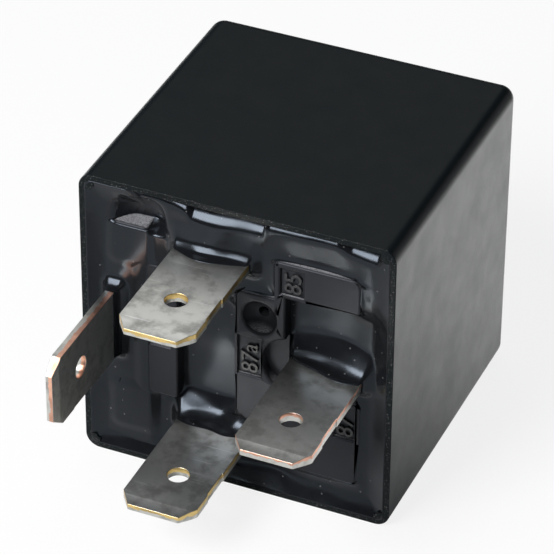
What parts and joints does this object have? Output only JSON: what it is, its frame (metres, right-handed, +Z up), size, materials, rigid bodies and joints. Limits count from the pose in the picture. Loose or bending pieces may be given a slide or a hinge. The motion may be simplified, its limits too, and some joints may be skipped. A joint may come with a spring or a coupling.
{
  "type": "automotive relay",
  "caption": "Sealed square plug-in relay with flat blade terminals on its base face, and inside it a coil, yoke, sprung armature and contacts.",
  "frame": {"origin": "middle of the whole relay's bounding box, on the side face that it lies on", "axes": "+Y from the terminals' tips to the closed end of the cover, +X from terminal 30 to terminal 87, +Z up, from terminal 86 to terminal 85"},
  "size_m": [0.0264, 0.0374, 0.0265],
  "materials": {
    "black_plastic": "satin moulded glass-filled nylon",
    "black_resin": "glossy poured epoxy",
    "tinned_copper": "bright tin plate on copper, worn by sliding, copper at the sheared edges",
    "tinned_brass": "bright tin plate on brass, worn by sliding, brass at the sheared edges",
    "zinc_plated_iron": "satin zinc plate",
    "soft_iron": "satin nickel plate",
    "natural_plastic": "natural nylon",
    "enamelled_copper": "enamelled copper wire",
    "solder": "solder",
    "spring_bronze": "rolled copper alloy",
    "silver_contact": "silver alloy",
    "rivet_brass": "brass"
  },
  "bodies": {
    "housing": {"cover": "black_plastic", "base": "black_plastic", "sealing_resin": "black_resin", "terminal_30": "tinned_copper", "terminal_85": "tinned_brass", "terminal_86": "tinned_brass", "terminal_87": "tinned_copper", "yoke": "zinc_plated_iron", "core": "soft_iron", "bobbin": "natural_plastic", "coil_winding": "enamelled_copper", "solder_joint_85": "solder", "solder_joint_86": "solder", "contact_spring": "spring_bronze", "fixed_contact": "silver_contact", "armature_stop": "zinc_plated_iron", "spring_rivets": "rivet_brass"},
    "armature": {"armature": "soft_iron", "moving_contact": "silver_contact", "armature_rivets": "rivet_brass"}
  },
  "joints": [
    {"name": "armature_pull", "type": "hinge", "parent": "housing", "child": "armature", "pos_m": [-0.0094, 0.0122, 0.01325], "axis": [0, 0, -1], "range_deg": [0, 3], "stiffness_Nm_per_rad": 0.02, "deforming": ["contact_spring"]}
  ]
}
